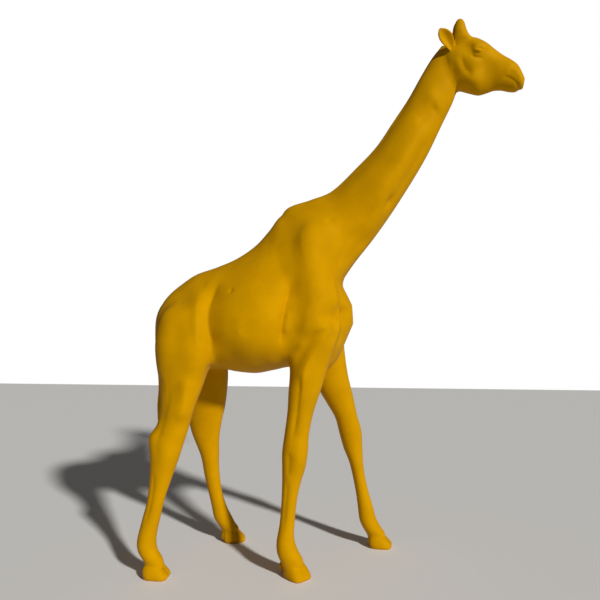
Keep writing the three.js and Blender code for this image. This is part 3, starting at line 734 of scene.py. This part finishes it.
satinResin = {"colour": "ca9200", "deep": "c48d00", "roughness": (0.52, 0.58), "waveMm": 90, "peelMm": 5,
              "mottleMm": 70}


def makeSatinResin():
    # pigmented polyester resin under a sprayed satin coat: even mustard, soft broad lights, a faint unevenness
    # from the hand-faired mould and a very fine orange peel from the spray
    material = bpy.data.materials.new("satinPaintedResin")
    material.use_nodes = True
    tree = material.node_tree
    tree.nodes.clear()
    place = addNode(tree, "ShaderNodeTexCoord")
    mottle = addNode(tree, "ShaderNodeTexNoise", {"noise_dimensions": "3D"},
                     {"Vector": (place, "Object"), "Scale": 1000 / satinResin["mottleMm"], "Detail": 4.0,
                      "Roughness": 0.55})
    tint = addNode(tree, "ShaderNodeValToRGB", None, {"Fac": (mottle, "Fac")})
    tint.color_ramp.elements[0].position, tint.color_ramp.elements[1].position = 0.38, 0.62
    tint.color_ramp.elements[0].color = linear(satinResin["deep"])
    tint.color_ramp.elements[1].color = linear(satinResin["colour"])
    gloss = addNode(tree, "ShaderNodeMapRange", None,
                    {"Value": (mottle, "Fac"), "From Min": 0.35, "From Max": 0.65,
                     "To Min": satinResin["roughness"][0], "To Max": satinResin["roughness"][1]})
    wave = addNode(tree, "ShaderNodeTexNoise", {"noise_dimensions": "3D"},
                   {"Vector": (place, "Object"), "Scale": 1000 / satinResin["waveMm"], "Detail": 1.0})
    peel = addNode(tree, "ShaderNodeTexNoise", {"noise_dimensions": "3D"},
                   {"Vector": (place, "Object"), "Scale": 1000 / satinResin["peelMm"], "Detail": 1.0})
    wavy = addNode(tree, "ShaderNodeBump", None,
                   {"Height": (wave, "Fac"), "Strength": 0.25, "Distance": 0.004})
    peeled = addNode(tree, "ShaderNodeBump", None,
                     {"Height": (peel, "Fac"), "Strength": 0.10, "Distance": 0.0004, "Normal": (wavy, "Normal")})
    shader = addNode(tree, "ShaderNodeBsdfPrincipled", None,
                     {"Base Color": (tint, "Color"), "Roughness": (gloss, "Result"), "IOR": 1.5,
                      "Specular IOR Level": 0.10,
                      "Specular Tint": linear("ffc53a"), "Normal": (peeled, "Normal")})
    addNode(tree, "ShaderNodeOutputMaterial", None, {"Surface": (shader, "BSDF")})
    return material


casting.data.materials.append(makeSatinResin())


stage = {"floor": "e6e4e0", "size": 14.0}


def makePaleFloor():
    # matt pale paper or screed, rough and without a sheen
    material = bpy.data.materials.new("palePaper")
    material.use_nodes = True
    tree = material.node_tree
    tree.nodes.clear()
    shader = addNode(tree, "ShaderNodeBsdfPrincipled", None,
                     {"Base Color": linear(stage["floor"]), "Roughness": 0.9, "Specular IOR Level": 0.1})
    addNode(tree, "ShaderNodeOutputMaterial", None, {"Surface": (shader, "BSDF")})
    return material


half = stage["size"] / 2
floor = bpy.data.objects.new("paleFloor", meshFrom(
    "paleFloor", np.array([(-half, -half, 0), (half, -half, 0), (half, half, 0), (-half, half, 0)]) * 1.0,
    [[0, 1, 2, 3]]))
bpy.context.scene.collection.objects.link(floor)
floor.data.materials.append(makePaleFloor())


lighting = {"azimuth": 41.0, "elevation": 30.0, "strength": 3.2, "spread": 4.0, "room": 0.09}

# the key light comes from the right of the camera, a little above the animal's back, and is fairly small, so
# that the head throws a clear shadow on the neck; the room fills in the rest evenly
key = bpy.data.lights.new("keyLight", "SUN")
key.energy = lighting["strength"]
key.angle = math.radians(lighting["spread"])
keyLamp = bpy.data.objects.new("keyLight", key)
bpy.context.scene.collection.objects.link(keyLamp)
keyLamp.rotation_euler = (math.radians(90 - lighting["elevation"]), 0, math.radians(lighting["azimuth"]))

world = bpy.data.worlds.new("paleRoom")
bpy.context.scene.world = world
world.use_nodes = True
room = world.node_tree
room.nodes.clear()
seen = addNode(room, "ShaderNodeBackground", None, {"Color": linear("ffffff"), "Strength": 1.0})
ambient = addNode(room, "ShaderNodeBackground", None, {"Color": linear("ffffff"), "Strength": lighting["room"]})
rays = addNode(room, "ShaderNodeLightPath")
both = addNode(room, "ShaderNodeMixShader", None, {"Fac": (rays, "Is Camera Ray")})
room.links.new(ambient.outputs[0], both.inputs[1])
room.links.new(seen.outputs[0], both.inputs[2])
addNode(room, "ShaderNodeOutputWorld", None, {"Surface": (both, "Shader")})

camera = bpy.data.objects.new("camera", bpy.data.cameras.new("camera"))
bpy.context.scene.collection.objects.link(camera)
camera.data.sensor_width = 36.0
camera.data.lens = 36.0
camera.location = (0.1290, -2.7223, 1.0865)
camera.rotation_euler = (math.radians(90 + 1.9), 0, math.radians(6.0))
bpy.context.scene.camera = camera
bpy.context.scene.view_settings.view_transform = "Standard"
